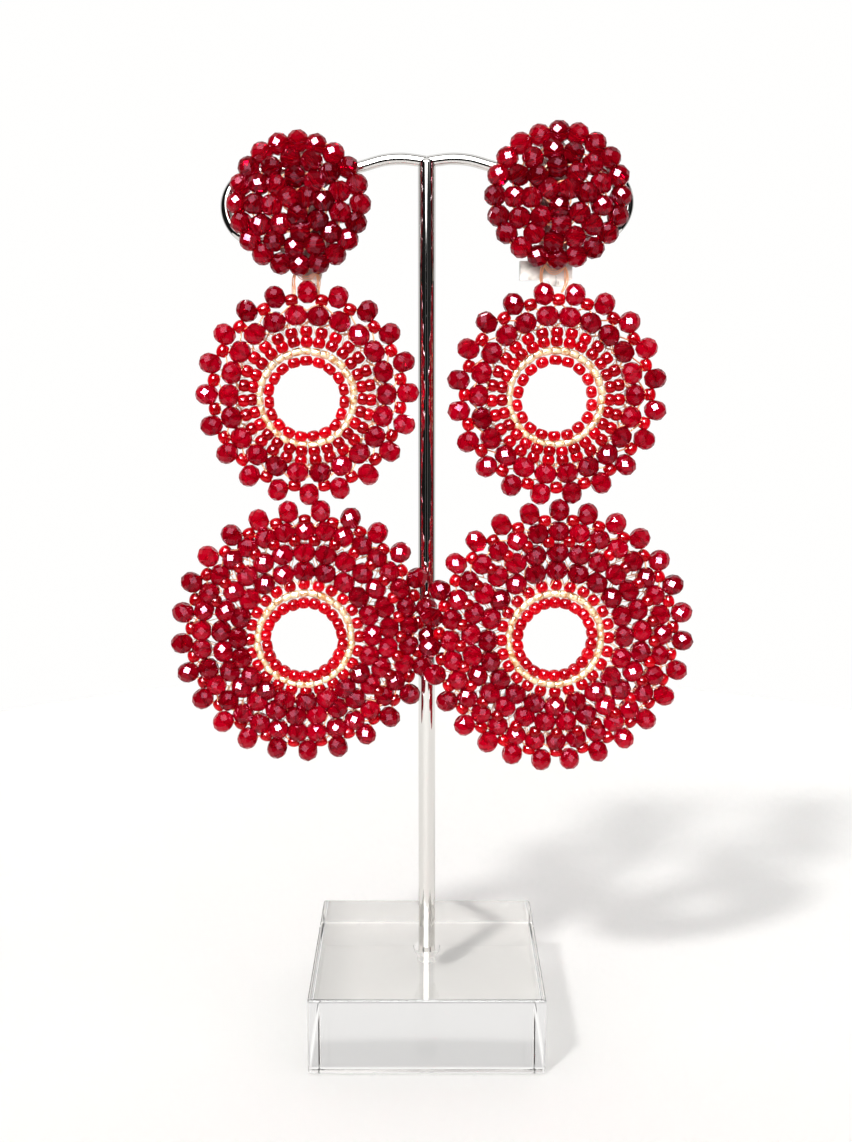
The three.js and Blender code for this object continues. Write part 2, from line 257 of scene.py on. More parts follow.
class Piece:
    """Collects closed shells and turns them into one Blender mesh."""

    def __init__(self, name):
        self.name = name
        self.vertices = []
        self.faces = []
        self.smooth = []
        self.slots = []
        self.tones = []

    def add(self, shell, matrix=Matrix(), slot=0, tone=EVEN_TONE):
        vertices, faces, smooth = shell
        start = len(self.vertices)
        self.vertices += [matrix @ Vector(v) for v in vertices]
        self.faces += [[start + i for i in face] for face in faces]
        self.smooth += [smooth] * len(faces)
        self.slots += [slot] * len(faces)
        self.tones += [tone] * len(vertices)

    def make(self, materials):
        mesh = bpy.data.meshes.new(self.name)
        mesh.from_pydata([tuple(v) for v in self.vertices], [], self.faces)
        for material in materials:
            mesh.materials.append(material)
        mesh.polygons.foreach_set("use_smooth", self.smooth)
        mesh.polygons.foreach_set("material_index", self.slots)
        tone = mesh.attributes.new("tone", "FLOAT", "POINT")
        tone.data.foreach_set("value", self.tones)
        mesh.update()
        piece = bpy.data.objects.new(self.name, mesh)
        bpy.context.scene.collection.objects.link(piece)
        return piece


def lathe(profile, segments):
    """A smooth ring-shaped shell: the profile of (radius, height) points closes on itself."""
    vertices = []
    for step in range(segments):
        angle = step * TURN / segments
        vertices += [(r * math.cos(angle), r * math.sin(angle), z) for r, z in profile]
    count = len(profile)
    faces = []
    for step in range(segments):
        here = step * count
        there = (step + 1) % segments * count
        for i in range(count):
            j = (i + 1) % count
            faces.append((here + i, there + i, there + j, here + j))
    return vertices, faces, True


def round_bead(across, along, segments, fullness):
    """A smooth drilled bead: an oval of revolution cut by its hole."""
    radius = across / 2
    hole = HOLE / 2
    start = math.asin(hole / radius + MOUTH_ROUNDING)
    profile = []
    steps = 8
    for step in range(steps + 1):
        angle = math.pi - start - (math.pi - 2 * start) * step / steps
        bulge = math.sin(angle) ** fullness
        profile.append((hole + (radius - hole) * bulge, along / 2 * math.cos(angle)))
    profile.append((hole, profile[-1][1] * BORE_REACH))
    profile.append((hole, profile[0][1] * BORE_REACH))
    return lathe([(r * MM, z * MM) for r, z in profile], segments)


def cut_bead(across, along):
    """A faceted drilled bead: flat diamonds round its belly, kites above and below them."""
    radius = across / 2
    half = along / 2
    cosine = math.cos(math.pi / FACETS)
    sine = math.sin(math.pi / FACETS)
    tip = half * KITE_TIP
    shoulder = half * SHOULDER
    shoulder_radius = radius * (1 - sine * sine * shoulder / tip)
    rim_radius = radius * RIM_RADIUS
    hole = HOLE / 2
    rings = [
        (hole, -half * MOUTH, 0.0),
        (rim_radius, -half, 0.0),
        (shoulder_radius, -shoulder, 0.0),
        (radius * cosine, -tip, 0.5),
        (radius, 0.0, 0.0),
        (radius * cosine, tip, 0.5),
        (shoulder_radius, shoulder, 0.0),
        (rim_radius, half, 0.0),
        (hole, half * MOUTH, 0.0),
    ]
    vertices = []
    for ring_radius, height, offset in rings:
        for k in range(FACETS):
            angle = (k + offset) * TURN / FACETS
            vertices.append((ring_radius * math.cos(angle) * MM,
                             ring_radius * math.sin(angle) * MM, height * MM))

    def at(ring, k):
        return ring * FACETS + k % FACETS

    faces = []
    for k in range(FACETS):
        faces.append((at(0, k), at(1, k), at(1, k + 1), at(0, k + 1))[::-1])
        faces.append((at(1, k), at(2, k), at(2, k + 1), at(1, k + 1))[::-1])
        faces.append((at(2, k), at(3, k), at(2, k + 1))[::-1])
        faces.append((at(2, k), at(3, k - 1), at(4, k), at(3, k)))
        faces.append((at(4, k), at(3, k), at(4, k + 1), at(5, k))[::-1])
        faces.append((at(4, k), at(5, k - 1), at(6, k), at(5, k)))
        faces.append((at(5, k), at(6, k), at(6, k + 1))[::-1])
        faces.append((at(6, k), at(7, k), at(7, k + 1), at(6, k + 1))[::-1])
        faces.append((at(7, k), at(8, k), at(8, k + 1), at(7, k + 1))[::-1])
        faces.append((at(8, k), at(0, k), at(0, k + 1), at(8, k + 1))[::-1])
    return outward(vertices, faces, False)


def outward(vertices, faces, smooth):
    """Turns every face of one closed shell the right way out."""
    work = bmesh.new()
    made = [work.verts.new(v) for v in vertices]
    for face in faces:
        work.faces.new([made[i] for i in face])
    bmesh.ops.recalc_face_normals(work, faces=work.faces)
    work.verts.index_update()
    result = [[v.index for v in face.verts] for face in work.faces]
    work.free()
    return vertices, result, smooth


def tube(points, radius, sides, closed=False):
    """A smooth round tube along points, with flat ends where it is open."""
    points = [Vector(p) for p in points]
    count = len(points)
    tangents = []
    for i in range(count):
        before = points[i - 1] if closed or i > 0 else points[i]
        after = points[(i + 1) % count] if closed or i < count - 1 else points[i]
        tangents.append((after - before).normalized())
    normal = tangents[0].orthogonal().normalized()
    vertices = []
    for point, tangent in zip(points, tangents):
        normal = (normal - tangent * normal.dot(tangent)).normalized()
        side = tangent.cross(normal)
        for k in range(sides):
            angle = k * TURN / sides
            outwards = normal * math.cos(angle) + side * math.sin(angle)
            vertices.append(tuple(point + outwards * radius))
    faces = []
    for i in range(count if closed else count - 1):
        here = i * sides
        there = (i + 1) % count * sides
        for k in range(sides):
            faces.append((here + k, here + (k + 1) % sides, there + (k + 1) % sides, there + k))
    if not closed:
        faces.append(tuple(range(sides))[::-1])
        faces.append(tuple(range((count - 1) * sides, count * sides)))
    return vertices, faces, True


def smoothed(points, per_span=6, closed=False):
    """Points on a Catmull-Rom curve through the given points."""
    points = [Vector(p) for p in points]
    count = len(points)
    spans = count if closed else count - 1
    result = []
    for i in range(spans):
        if closed:
            a, b, c, d = (points[(i + k) % count] for k in (-1, 0, 1, 2))
        else:
            a, b, c, d = (points[min(max(i + k, 0), count - 1)] for k in (-1, 0, 1, 2))
        for step in range(per_span):
            t = step / per_span
            result.append(0.5 * ((2 * b) + (c - a) * t + (2 * a - 5 * b + 4 * c - d) * t * t
                                 + (3 * b - a - 3 * c + d) * t ** 3))
    if not closed:
        result.append(points[-1])
    return result


# ---------------------------------------------------------------- materials

def new_material(name, **sockets):
    """A material with a Principled shader, whose sockets are set by their names."""
    material = bpy.data.materials.new(name)
    material.use_nodes = True
    shader = material.node_tree.nodes["Principled BSDF"]
    for key, value in sockets.items():
        shader.inputs[key.replace("_", " ")].default_value = value
    return material, material.node_tree, shader


def shaded(tree, shader, factor, dark, light, start=0.0, end=1.0):
    """Colours a surface between two shades, as a factor goes from start to end."""
    ramp = tree.nodes.new("ShaderNodeValToRGB")
    stops = ramp.color_ramp.elements
    stops[0].position = start
    stops[0].color = (*dark, 1)
    stops[1].position = end
    stops[1].color = (*light, 1)
    tree.links.new(factor, ramp.inputs["Fac"])
    tree.links.new(ramp.outputs["Color"], shader.inputs["Base Color"])


def toned(tree, shader, dark, light):
    """Colours each bead or thread between two shades by its own tone."""
    tone = tree.nodes.new("ShaderNodeAttribute")
    tone.attribute_name = "tone"
    shaded(tree, shader, tone.outputs["Fac"], dark, light)


def clouded(tree, shader, scale, dark, light, start=0.0, end=1.0):
    """Colours a surface between two shades in soft patches."""
    where = tree.nodes.new("ShaderNodeTexCoord")
    cloud = tree.nodes.new("ShaderNodeTexNoise")
    cloud.inputs["Scale"].default_value = scale
    tree.links.new(where.outputs["Object"], cloud.inputs["Vector"])
    shaded(tree, shader, cloud.outputs["Fac"], dark, light, start, end)


def bumped(tree, shader, scale, height, stretch=(1, 1, 1)):
    """A fine uneven surface, its height in metres. Gives the noise that it is made from."""
    where = tree.nodes.new("ShaderNodeTexCoord")
    mapping = tree.nodes.new("ShaderNodeMapping")
    mapping.inputs["Scale"].default_value = stretch
    noise = tree.nodes.new("ShaderNodeTexNoise")
    noise.inputs["Scale"].default_value = scale
    noise.inputs["Detail"].default_value = 3.0
    bump = tree.nodes.new("ShaderNodeBump")
    bump.inputs["Distance"].default_value = height
    bump.inputs["Strength"].default_value = 1.0
    tree.links.new(where.outputs["Object"], mapping.inputs["Vector"])
    tree.links.new(mapping.outputs["Vector"], noise.inputs["Vector"])
    tree.links.new(noise.outputs["Fac"], bump.inputs["Height"])
    tree.links.new(bump.outputs["Normal"], shader.inputs["Normal"])
    return noise


def roughened(tree, shader, noise, low, high):
    """Lets the same unevenness vary the gloss."""
    span = tree.nodes.new("ShaderNodeMapRange")
    span.inputs["To Min"].default_value = low
    span.inputs["To Max"].default_value = high
    tree.links.new(noise.outputs["Fac"], span.inputs["Value"])
    tree.links.new(span.outputs["Result"], shader.inputs["Roughness"])


def ruby_glass():
    """Deep red cut glass, whose facets reflect pink."""
    material, tree, shader = new_material(
        "ruby_glass", IOR=1.42, Transmission_Weight=0.72, Specular_IOR_Level=0.3,
        Specular_Tint=(1.0, 0.40, 0.60, 1))
    toned(tree, shader, (0.20, 0.0002, 0.004), (0.62, 0.0004, 0.016))
    noise = bumped(tree, shader, scale=400.0, height=0.002 * MM)
    roughened(tree, shader, noise, 0.0, 0.02)
    return material


def red_glass():
    """The lighter, smooth glass of the seed beads."""
    material, tree, shader = new_material(
        "red_glass", IOR=1.42, Transmission_Weight=0.7, Specular_IOR_Level=0.35,
        Specular_Tint=(1.0, 0.42, 0.50, 1))
    toned(tree, shader, (0.50, 0.0002, 0.004), (0.92, 0.0005, 0.010))
    noise = bumped(tree, shader, scale=800.0, height=0.003 * MM)
    roughened(tree, shader, noise, 0.02, 0.06)
    return material


def gold_glass():
    """Pale gold beads with amber patches where the bump noise is low: painted shade that stands in for
    the beads' darker edges.
    """
    material, tree, shader = new_material(
        "gold_lined_glass", Metallic=0.1, Coat_Weight=1.0, Coat_Roughness=0.05)
    noise = bumped(tree, shader, scale=1100.0, height=0.03 * MM)
    roughened(tree, shader, noise, 0.18, 0.4)
    # Painted shade: the amber end of these patches stands in for the darker edges of the beads, but it is
    # laid by noise, not at the edges.
    shaded(tree, shader, noise.outputs["Fac"], (0.66, 0.29, 0.09), (1.0, 0.83, 0.52), 0.36, 0.54)
    return material


def thread_fibre():
    """Peach thread, with the fibres that run along it."""
    material, tree, shader = new_material("beading_thread", Sheen_Weight=0.3)
    toned(tree, shader, (0.60, 0.20, 0.08), (0.95, 0.53, 0.29))
    noise = bumped(tree, shader, scale=5000.0, height=0.04 * MM, stretch=(1, 1, 3))
    roughened(tree, shader, noise, 0.35, 0.6)
    return material


def chrome():
    """Plated wire, faintly drawn along its length."""
    material, tree, shader = new_material(
        "chrome_plate", Metallic=1.0, Base_Color=(0.74, 0.725, 0.70, 1))
    noise = bumped(tree, shader, scale=160.0, height=0.003 * MM, stretch=(1, 1, 0.1))
    roughened(tree, shader, noise, 0.02, 0.06)
    return material


def silver():
    """The worn silver of the clips and of the discs under the domes."""
    material, tree, shader = new_material("clip_silver", Metallic=0.3)
    clouded(tree, shader, 350.0, (0.24, 0.22, 0.19), (0.66, 0.63, 0.59), 0.38, 0.56)
    noise = bumped(tree, shader, scale=700.0, height=0.02 * MM, stretch=(1, 1, 0.3))
    roughened(tree, shader, noise, 0.2, 0.4)
    return material


def acrylic():
    """Clear plastic, faintly cloudy. Its shadow lets about half of the light through."""
    material, tree, shader = new_material(
        "clear_acrylic", IOR=1.49, Transmission_Weight=1.0, Roughness=0.0)
    clouded(tree, shader, 30.0, (0.98, 0.975, 0.965), (0.99, 0.985, 0.977))
    clear = tree.nodes.new("ShaderNodeBsdfTransparent")
    clear.inputs["Color"].default_value = (0.50, 0.497, 0.49, 1)
    path = tree.nodes.new("ShaderNodeLightPath")
    mix = tree.nodes.new("ShaderNodeMixShader")
    output = tree.nodes["Material Output"]
    tree.links.new(path.outputs["Is Shadow Ray"], mix.inputs["Fac"])
    tree.links.new(shader.outputs["BSDF"], mix.inputs[1])
    tree.links.new(clear.outputs["BSDF"], mix.inputs[2])
    tree.links.new(mix.outputs["Shader"], output.inputs["Surface"])
    return material


# ---------------------------------------------------------------- places from the frame

def node_centre(node):
    low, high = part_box(node)
    return (Vector(low) + Vector(high)) / 2


def drop_yaw(side):
    """How far the plane of a drop is turned about Z, from its swing axis."""
    joint = next(j for j in frame["joints"] if j["child"] == f"drop_{side}")
    return math.atan2(-joint["axis"][0], joint["axis"][1])


def ring_place(side, node):
    """Places a ring made in the XZ plane where the CAD ring is. Only the drops are turned."""
    place = Matrix.Translation(node_centre(f"{side}_{node}"))
    if node.startswith("button"):
        return place
    return place @ Matrix.Rotation(drop_yaw(side), 4, "Z")


def bead_pose(angle, radius, forward, along, spin, lean):
    """The pose of one bead in a ring: its hole points along the radius or round the ring."""
    radial = Vector((math.cos(angle), 0, math.sin(angle)))
    tangent = Vector((-math.sin(angle), 0, math.cos(angle)))
    axis = radial if along == "radial" else tangent
    turn = axis.to_track_quat("Z", "Y").to_matrix().to_4x4()
    place = Matrix.Translation((radial * radius + Vector((0, -forward, 0))) * MM)
    tilt = Matrix.Rotation(lean[0], 4, "X") @ Matrix.Rotation(lean[1], 4, "Y")
    return place @ turn @ tilt @ Matrix.Rotation(spin, 4, "Z")


def jittered(rng, angle, radius, along, forward=0.0, loose=1.0):
    """The pose of one bead, with the small unevenness of hand work."""
    def play(most):
        return rng.uniform(-most, most) * loose

    return bead_pose(angle + play(ANGLE_PLAY), radius + play(RADIUS_PLAY), forward + play(FORWARD_PLAY),
                     along, rng.uniform(0, TURN), (play(LEAN_PLAY), play(LEAN_PLAY)))


# ---------------------------------------------------------------- shells and materials, made once

CUT_RONDELLE = cut_bead(*RONDELLE)
CUT_PICOT = cut_bead(*PICOT)
CUT_DOME = cut_bead(*DOME_BEAD)
ROUND_SMALL = outward(*round_bead(*SMALL_BEAD, segments=14, fullness=SMALL_FULLNESS))
CUT_TIGHT = cut_bead(*TIGHT_RONDELLE)
ROUND_OUTER_SEED = outward(*round_bead(*OUTER_SEED, segments=12, fullness=SEED_FULLNESS))
ROUND_SEED = outward(*round_bead(*SEED, segments=12, fullness=SEED_FULLNESS))
ROUND_INNER_SEED = outward(*round_bead(*INNER_SEED, segments=12, fullness=SEED_FULLNESS))
ROUND_GOLD = outward(*round_bead(*GOLD_BEAD, segments=12, fullness=GOLD_FULLNESS))

RUBY = ruby_glass()
RED = red_glass()
GOLD = gold_glass()
THREAD = thread_fibre()
CHROME = chrome()
SILVER = silver()
ACRYLIC = acrylic()


def finish_piece(piece, materials, body, slot, *nodes):
    """Makes a piece, rides it on its body and hides the CAD nodes that it stands for."""
    made = piece.make(materials)
    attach(made, body)
    if nodes:
        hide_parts(*nodes)


# ---------------------------------------------------------------- the drops

def even_ring(side, node, shell, count, radius, material, slot, along, phase=0.0):
    """Beads of one kind, set evenly round a ring."""
    rng = random.Random(f"{side}_{node}")
    piece = Piece(f"{side}_{node}_beads")
    place = ring_place(side, node)
    for k in range(count):
        angle = TOP + (k + phase) * TURN / count
        piece.add(shell, place @ jittered(rng, angle, radius, along), tone=rng.uniform(*CUT_TONES))
    finish_piece(piece, [material], f"drop_{side}", slot, f"{side}_{node}")


def picot_ring(side, node, pairs, radius, small_radius, large_on_top):
    """Large beads standing out of the edge, with a small round bead between each two."""
    rng = random.Random(f"{side}_{node}")
    piece = Piece(f"{side}_{node}_beads")
    place = ring_place(side, node)
    start = 0.0 if large_on_top else 0.5
    for k in range(pairs):
        angle = TOP + (k + start) * TURN / pairs
        pose = jittered(rng, angle, radius, "tangent")
        piece.add(CUT_PICOT, place @ pose, 0, rng.uniform(*CUT_TONES))
        pose = jittered(rng, angle + 0.5 * TURN / pairs, small_radius, "tangent")
        piece.add(ROUND_SMALL, place @ pose, 1, rng.random())
    finish_piece(piece, [RUBY, RED], f"drop_{side}", "ruby_glass", f"{side}_{node}")


def seed_pairs(side, node, count, radii):
    """Rows of seed beads set one behind the other along the radius."""
    rng = random.Random(f"{side}_{node}")
    piece = Piece(f"{side}_{node}_beads")
    place = ring_place(side, node)
    for radius, shell in zip(radii, (ROUND_OUTER_SEED, ROUND_SEED)):
        for k in range(count):
            angle = TOP + k * TURN / count
            pose = jittered(rng, angle, radius, "radial", SEEDS_FORWARD)
            piece.add(shell, place @ pose, tone=rng.random())
    finish_piece(piece, [RED], f"drop_{side}", "red_glass", f"{side}_{node}")


def make_mid(side):
    """The beads of the middle disc."""
    facts = MID[side]
    picot_ring(side, "mid_outer", *MID_EDGE, facts["top"])
    even_ring(side, "mid_rondelles", CUT_RONDELLE, *MID_RONDELLES, RUBY, "ruby_glass", "radial", 0.5)
    seed_pairs(side, "mid_seeds", *MID_SEEDS)
    even_ring(side, "mid_gold", ROUND_GOLD, *MID_GOLD, GOLD, "gold_lined_glass", "tangent")
    even_ring(side, "mid_inner_seeds", ROUND_INNER_SEED, facts["inner"], MID_INNER_RADIUS, RED,
              "red_glass", "radial")


def make_low(side):
    """The beads of the lower disc."""
    facts = LOW[side]
    scale = facts["scale"]
    edge = LOW_EDGE * scale
    picot_ring(side, "low_outer", facts["pairs"], edge, edge - LOW_EDGE_STEP, facts["top"])
    shells = (CUT_TIGHT, CUT_RONDELLE, CUT_RONDELLE)
    for (node, radius), count, shell in zip(LOW_RINGS, facts["counts"], shells):
        even_ring(side, node, shell, count, radius * scale, RUBY, "ruby_glass", "radial")
    even_ring(side, "low_seeds", ROUND_SEED, *LOW_SEEDS, RED, "red_glass", "radial")
    even_ring(side, "low_gold", ROUND_GOLD, *LOW_GOLD, GOLD, "gold_lined_glass", "tangent")
    even_ring(side, "low_inner_seeds", ROUND_SEED, *LOW_INNER_SEEDS, RED, "red_glass", "radial")
    fill_low(side)


def fill_low(side):
    """Seed beads that fill the step between the two largest rings, on the front."""
    rng = random.Random(f"{side}_between")
    first, last = (math.radians(degrees) for degrees in LOW[side]["filled"])
    place = ring_place(side, "low_ring_a")
    piece = Piece(f"{side}_low_between_beads")
    for k in range(FILLER_COUNT):
        angle = TOP + (k + 0.5) * TURN / FILLER_COUNT
        angle = (angle - first) % TURN + first
        if angle <= last:
            pose = jittered(rng, angle, FILLER_RADIUS * LOW[side]["scale"], "radial", FILLER_FORWARD)
            piece.add(ROUND_SEED, place @ pose, tone=rng.random())
    finish_piece(piece, [RED], f"drop_{side}", "red_glass")


def ring_points(place, radius, count, forward=0.0, swing=0.0, phase=0.0):
    """Points round a ring whose radius swings in and out from one to the next."""
    points = []
    for k in range(count):
        angle = TOP + (k + phase) * TURN / count
        reach = radius + (swing if k % 2 else -swing)
        point = Vector((reach * math.cos(angle), -forward, reach * math.sin(angle)))
        points.append(place @ (point * MM))
    return points


def make_drop_threads(side):
    """The peach thread that runs through the edge beads and zigzags between the rings."""
    piece = Piece(f"{side}_drop_threads")
    rng = random.Random(f"{side}_threads")

    def sew(points):
        thread = tube(points, THREAD_RADIUS * MM, THREAD_SIDES, closed=True)
        piece.add(thread, tone=rng.random())

    low = LOW[side]
    for disc, edge, inner, pairs, scale, top in (
        ("mid", "mid_outer", "mid_rondelles", MID_EDGE[0], 1.0, MID[side]["top"]),
        ("low", "low_outer", "low_ring_a", low["pairs"], low["scale"], low["top"]),
    ):
        radii = {name: value * scale for name, value in EDGE_THREADS[disc].items() if name != "turns"}
        middle = (radii["large"] + radii["small"]) / 2
        swing = (radii["small"] - radii["large"]) / 2
        phase = 0.0 if top else 1.0
        place = ring_place(side, edge)
        for forward in EDGE_THREAD_DEPTHS:
            sew(smoothed(ring_points(place, middle, 2 * pairs, forward, swing, phase), 3, closed=True))
        sew(ring_points(place, radii["zigzag"], 2 * pairs, ZIGZAG_FORWARD, ZIGZAG_SWING, phase))
        sew(ring_points(ring_place(side, inner), radii["ring"], 2 * EDGE_THREADS[disc]["turns"],
                        RING_THREAD_FORWARD, RING_THREAD_SWING))
    for node, rings in WEBS.items():
        place = ring_place(side, node)
        for radius, turns, swing, forward in rings:
            sew(ring_points(place, radius, 2 * turns, forward, swing, rng.random()))
    finish_piece(piece, [THREAD], f"drop_{side}", "thread")


def make_hang(side):
    """The sewn loops that carry the drop from the lowest beads of its button."""
    piece = Piece(f"{side}_hang_loops")
    rng = random.Random(f"{side}_hang")
    low, high = (Vector(corner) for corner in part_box(f"{side}_hang_thread"))
    centre = (low + high) / 2
    half_width = (high.x - low.x) / 2
    half_height = (high.z - low.z) / 2
    to_disc = node_centre(f"{side}_mid_outer").y - centre.y
    half_route = ((HANG_FOOT[side], HANG_FOOT_HEIGHT, HANG_FOOT_DEPTH), *HANG_SIDE)
    route = [(-across, up, depth) for across, up, depth in half_route]
    route += [HANG_CROWN, *reversed(half_route)]

    def strand_along(points):
        strand = tube(smoothed(points, 5), STRAND_RADIUS * MM, STRAND_SIDES)
        piece.add(strand, tone=rng.uniform(*HANG_TONES))

    for strand in range(HANG_STRANDS):
        wide = (HANG_WIDTH + HANG_WIDTH_STEP * strand) * half_width
        strand_along([
            centre + Vector((
                across * wide + rng.uniform(-HANG_PLAY, HANG_PLAY) * MM,
                to_disc * depth,
                up * half_height,
            )) for across, up, depth in route
        ])
    for strand in range(SAG_STRANDS):
        lift = (SAG_LIFT - SAG_LIFT_STEP * strand) * half_height
        strand_along([
            centre + Vector((across * half_width, -SAG_FORWARD * MM, up * half_height + lift))
            for across, up in SAG_ROUTE
        ])
    finish_piece(piece, [THREAD], f"drop_{side}", "thread", f"{side}_hang_thread")


# ---------------------------------------------------------------- the buttons

def make_button(side):
    """The domed beads of a button, and the threads that hold them."""
    rng = random.Random(f"{side}_button")
    piece = Piece(f"{side}_button_beads")
    threads = Piece(f"{side}_button_threads")
    place = ring_place(side, "button_outer")
    scale = BUTTON_SCALE[side]
    for count, radius, forward, phase in DOME_ROWS:
        for k in range(count):
            angle = TOP + (k + phase) * TURN / count
            pose = jittered(rng, angle, radius * scale, "tangent", forward, DOME_LOOSENESS)
            piece.add(CUT_DOME, place @ pose, tone=rng.uniform(*DOME_TONES))
        for offset in DOME_THREAD_OFFSETS:
            points = ring_points(place, radius * scale + offset, 2 * count,
                                 forward + DOME_THREAD_FORWARD, DOME_THREAD_SWING, phase)
            thread = tube(smoothed(points, 2, closed=True), THREAD_RADIUS * MM, THREAD_SIDES, closed=True)
            threads.add(thread, tone=rng.random())
    finish_piece(piece, [RUBY], "root", "ruby_glass",
                 *(f"{side}_button_{row}" for row in ("outer", "middle", "inner", "centre")))
    finish_piece(threads, [THREAD], "root", "thread")


def make_sieve(side):
    """The pierced disc that a button's beads are sewn to."""
    sieve = Piece(f"{side}_button_sieve")
    place = ring_place(side, "button_backing")
    scale = BUTTON_SCALE[side]
    wire = SIEVE_WIRE * MM
    for radius in SIEVE_RINGS:
        points = ring_points(place, radius * scale, SIEVE_RING_POINTS)
        sieve.add(tube(points, wire, THREAD_SIDES, closed=True))
    for k in range(SIEVE_SPOKES):
        angle = k * TURN / SIEVE_SPOKES
        spoke = Vector((math.cos(angle), 0, math.sin(angle))) * scale * MM
        ends = [place @ (spoke * reach) for reach in (SIEVE_RINGS[0], SIEVE_RINGS[-1])]
        sieve.add(tube(ends, wire, THREAD_SIDES))
    finish_piece(sieve, [SILVER], "root", "silver_metal", f"{side}_button_backing")


# ---------------------------------------------------------------- the stand

def arm_points(side):
    """An arm's centre line: out of the post, over a low rise, then a curl down and back in."""
    sign = -1 if side == "left" else 1
    points = [Vector((sign * x, 0, z)) for x, z in ARM_ROUTE]
    curl_x, curl_z = CURL_CENTRE[side]
    for step in range(CURL_STEPS + 1):
        angle = CURL_FIRST + (CURL_LAST - CURL_FIRST) * step / CURL_STEPS
        points.append(Vector((sign * (curl_x + CURL_RADIUS * math.cos(angle)), 0,
                              curl_z + CURL_RADIUS * math.sin(angle))))
    return [p * MM for p in points]


def make_stand():
    """The post with its rounded top, and the two arms."""
    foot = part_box("stand_rod")[0][2]
    piece = Piece("stand_chrome")
    radius = POST_RADIUS * MM
    crown = POST_CROWN * MM
    crown_foot = (POST_TOP - POST_CROWN) * MM
    crease = POST_CREASE * MM
    profile = [(AXIS * MM, foot), (radius - crease, foot), (radius, foot + crease),
               (radius, foot + 2 * crease), (radius, crown_foot - crease), (radius, crown_foot)]
    steps = 8
    for step in range(1, steps):
        angle = step * math.pi / 2 / steps
        profile.append((radius * math.cos(angle), crown_foot + crown * math.sin(angle)))
    profile.append((AXIS * MM, POST_TOP * MM))
    piece.add(outward(*lathe(profile, POST_SIDES)))
    for side in SIDES:
        piece.add(outward(*tube(smoothed(arm_points(side)), ARM_RADIUS * MM, ARM_SIDES)))
    finish_piece(piece, [CHROME], "root", "chrome", "stand_rod")


def make_block():
    """The clear block: softened edges, and a bore with a wider mouth for the post."""
    low, high = (Vector(corner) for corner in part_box("base_block"))
    work = bmesh.new()
    bmesh.ops.create_cube(work, size=1.0)
    bmesh.ops.scale(work, vec=high - low, verts=work.verts)
    bmesh.ops.translate(work, vec=(low + high) / 2, verts=work.verts)
    bmesh.ops.bevel(work, geom=list(work.edges), offset=BLOCK_SOFTENING * MM, segments=3,
                    affect="EDGES", profile=0.5)
    mesh = bpy.data.meshes.new("clear_block")
    work.to_mesh(mesh)
    work.free()
    block = bpy.data.objects.new("clear_block", mesh)
    bpy.context.scene.collection.objects.link(block)

    bore = Piece("bore_cutter")
    profile = [(AXIS, BORE_FLOOR), (BORE_RADIUS, BORE_FLOOR)]
    profile += [(radius, height) for height, radius in BORE_MOUTH]
    profile.append((AXIS, BORE_MOUTH[-1][0]))
    bore.add(outward(*lathe([(r * MM, z * MM) for r, z in profile], POST_SIDES)))
    cutter = bore.make([])
    cut = block.modifiers.new("bore", "BOOLEAN")
    cut.object = cutter
    cut.solver = "EXACT"
    bpy.context.view_layer.update()
    evaluated = block.evaluated_get(bpy.context.evaluated_depsgraph_get())
    result = bpy.data.meshes.new_from_object(evaluated)
    block.modifiers.clear()
    block.data = result
    bpy.data.objects.remove(cutter)
    result.materials.clear()
    result.materials.append(ACRYLIC)
    for polygon in result.polygons:
        polygon.use_smooth = False
    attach(block, "root")
    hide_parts("base_block")


def paint_clip(side):
    """Gives the clip's CAD nodes, whose shapes are right, their worn silver."""
    for node in ("clip_frame", "clip_lever"):
        carried = frame["nodes"][f"{side}_{node}"]
        for slot in carried.material_slots:
            slot.material = SILVER


# ---------------------------------------------------------------- the room

def make_camera():
    data = bpy.data.cameras.new("camera")
    data.lens = LENS_MM
    data.sensor_width = SENSOR_MM
    data.shift_y = SHIFT_Y
    data.clip_start = NEAREST
    camera = bpy.data.objects.new("camera", data)
    camera.location = CAMERA_AT
    camera.rotation_euler = (math.pi / 2 - CAMERA_PITCH, 0, 0)
    bpy.context.scene.collection.objects.link(camera)
    bpy.context.scene.camera = camera


def make_floor():
    mesh = bpy.data.meshes.new("floor")
    angles = [k * TURN / FLOOR_SIDES for k in range(FLOOR_SIDES)]
    rim = [(FLOOR_REACH * math.cos(angle), FLOOR_REACH * math.sin(angle), FLOOR_Z) for angle in angles]
    mesh.from_pydata(rim, [], [tuple(range(FLOOR_SIDES))])
    floor = bpy.data.objects.new("floor", mesh)
    material, _, _ = new_material(
        "pale_floor", Roughness=0.6, Specular_IOR_Level=0.1, Base_Color=(0.725, 0.722, 0.716, 1))
    mesh.materials.append(material)
    bpy.context.scene.collection.objects.link(floor)


def make_lights():
    sun = bpy.data.lights.new("key", "SUN")
    sun.energy = KEY_STRENGTH
    sun.angle = KEY_ANGLE
    sun.color = KEY_TINT
    key = bpy.data.objects.new("key", sun)
    key.rotation_euler = KEY_DIRECTION.to_track_quat("-Z", "Y").to_euler()
    bpy.context.scene.collection.objects.link(key)


def round_lamp(tree, direction, axis, outer, inner, strength):
    """A soft-edged round patch of light in the world, outer to inner degrees from its axis."""
    dot = tree.nodes.new("ShaderNodeVectorMath")
    dot.operation = "DOT_PRODUCT"
    dot.inputs[1].default_value = Vector(axis).normalized()
    span = tree.nodes.new("ShaderNodeMapRange")
    span.interpolation_type = "SMOOTHSTEP"
    span.inputs["From Min"].default_value = math.cos(math.radians(outer))
    span.inputs["From Max"].default_value = math.cos(math.radians(inner))
    span.inputs["To Max"].default_value = strength
    tree.links.new(direction, dot.inputs[0])
    tree.links.new(dot.outputs["Value"], span.inputs["Value"])
    return span.outputs["Result"]


